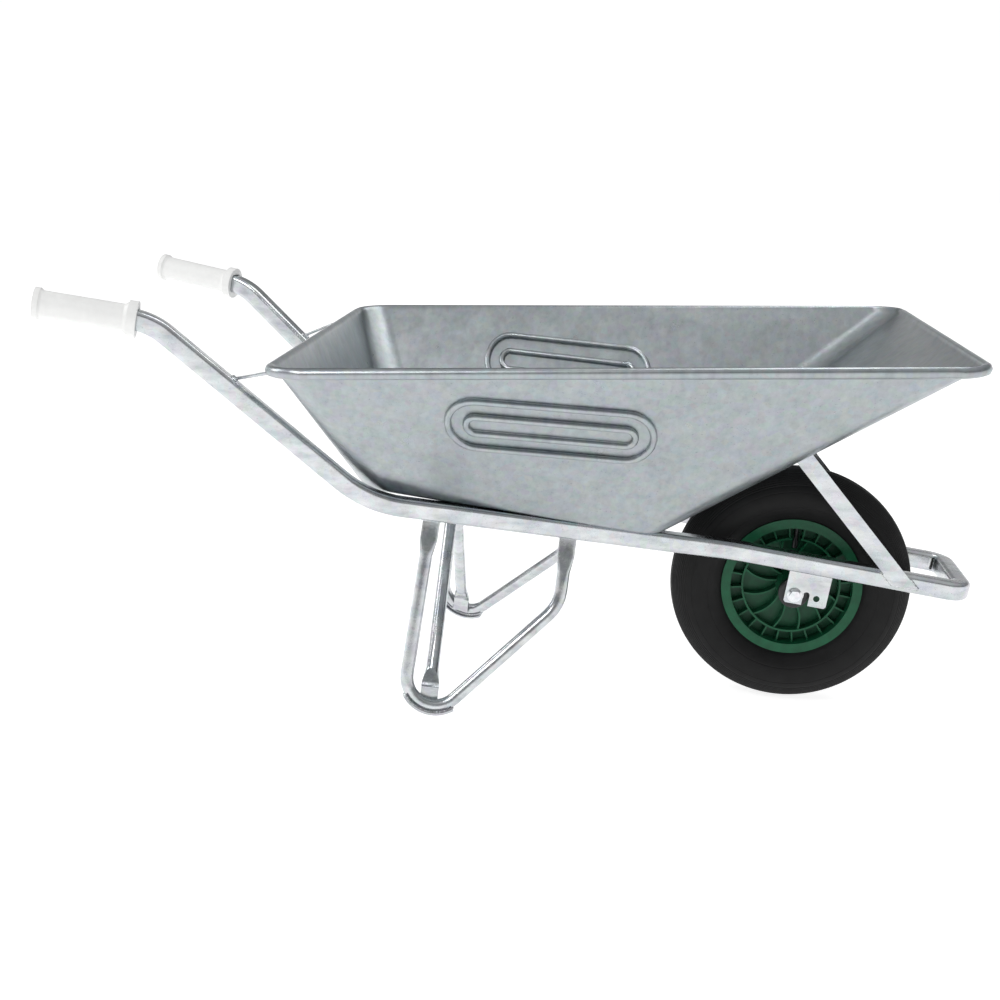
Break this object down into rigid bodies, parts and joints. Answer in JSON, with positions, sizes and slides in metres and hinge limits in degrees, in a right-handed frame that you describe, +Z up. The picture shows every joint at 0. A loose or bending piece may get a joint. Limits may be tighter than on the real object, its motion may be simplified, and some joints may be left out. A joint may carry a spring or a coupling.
{
  "type": "wheelbarrow",
  "caption": "Builder's wheelbarrow with a deep steel tray, a bent tube frame on two braced legs, and one spoked plastic wheel with a pneumatic tyre.",
  "frame": {"origin": "on the ground, under the middle of the overall length and width", "axes": "+X forwards towards the wheel, +Y to the user's left, +Z up"},
  "size_m": [1.413, 0.7776, 0.6141],
  "materials": {
    "tray_steel": "galvanised sheet, satin, mottled",
    "frame_steel": "hot-dip galvanised, satin",
    "fastener": "bright zinc plate",
    "grip": "soft satin moulding",
    "rim_plastic": "satin moulding",
    "tyre": "matt rubber",
    "inner_tube": "matt rubber",
    "black_plastic": "satin moulding",
    "bush_plastic": "satin moulding"
  },
  "bodies": {
    "barrow": {"main_frame": "frame_steel", "rear_cross_member": "frame_steel", "front_cross_member": "frame_steel", "left_leg": "frame_steel", "right_leg": "frame_steel", "left_foot_plate": "frame_steel", "right_foot_plate": "frame_steel", "left_leg_brace": "frame_steel", "right_leg_brace": "frame_steel", "left_front_strut": "frame_steel", "right_front_strut": "frame_steel", "left_tray_stay": "frame_steel", "right_tray_stay": "frame_steel", "left_axle_bracket": "frame_steel", "right_axle_bracket": "frame_steel", "left_grip": "grip", "right_grip": "grip", "tray": "tray_steel", "floor_bolts": "fastener", "floor_washers": "fastener", "floor_nuts": "fastener", "strut_bolts": "fastener", "strut_washers": "fastener", "strut_nuts": "fastener", "axle_bolt": "fastener", "axle_nut": "fastener", "axle_sleeve": "fastener", "axle_washers": "fastener"},
    "wheel": {"wheel_rim": "rim_plastic", "tyre": "tyre", "inner_tube": "inner_tube", "valve_stem": "black_plastic", "valve_cap": "black_plastic", "left_hub_bush": "bush_plastic", "right_hub_bush": "bush_plastic", "left_dust_cap": "black_plastic", "right_dust_cap": "black_plastic"}
  },
  "joints": [
    {"name": "wheel_spin", "type": "hinge", "parent": "barrow", "child": "wheel", "pos_m": [0.43605, 0, 0.1925], "axis": [0, 1, 0], "continuous": true}
  ]
}
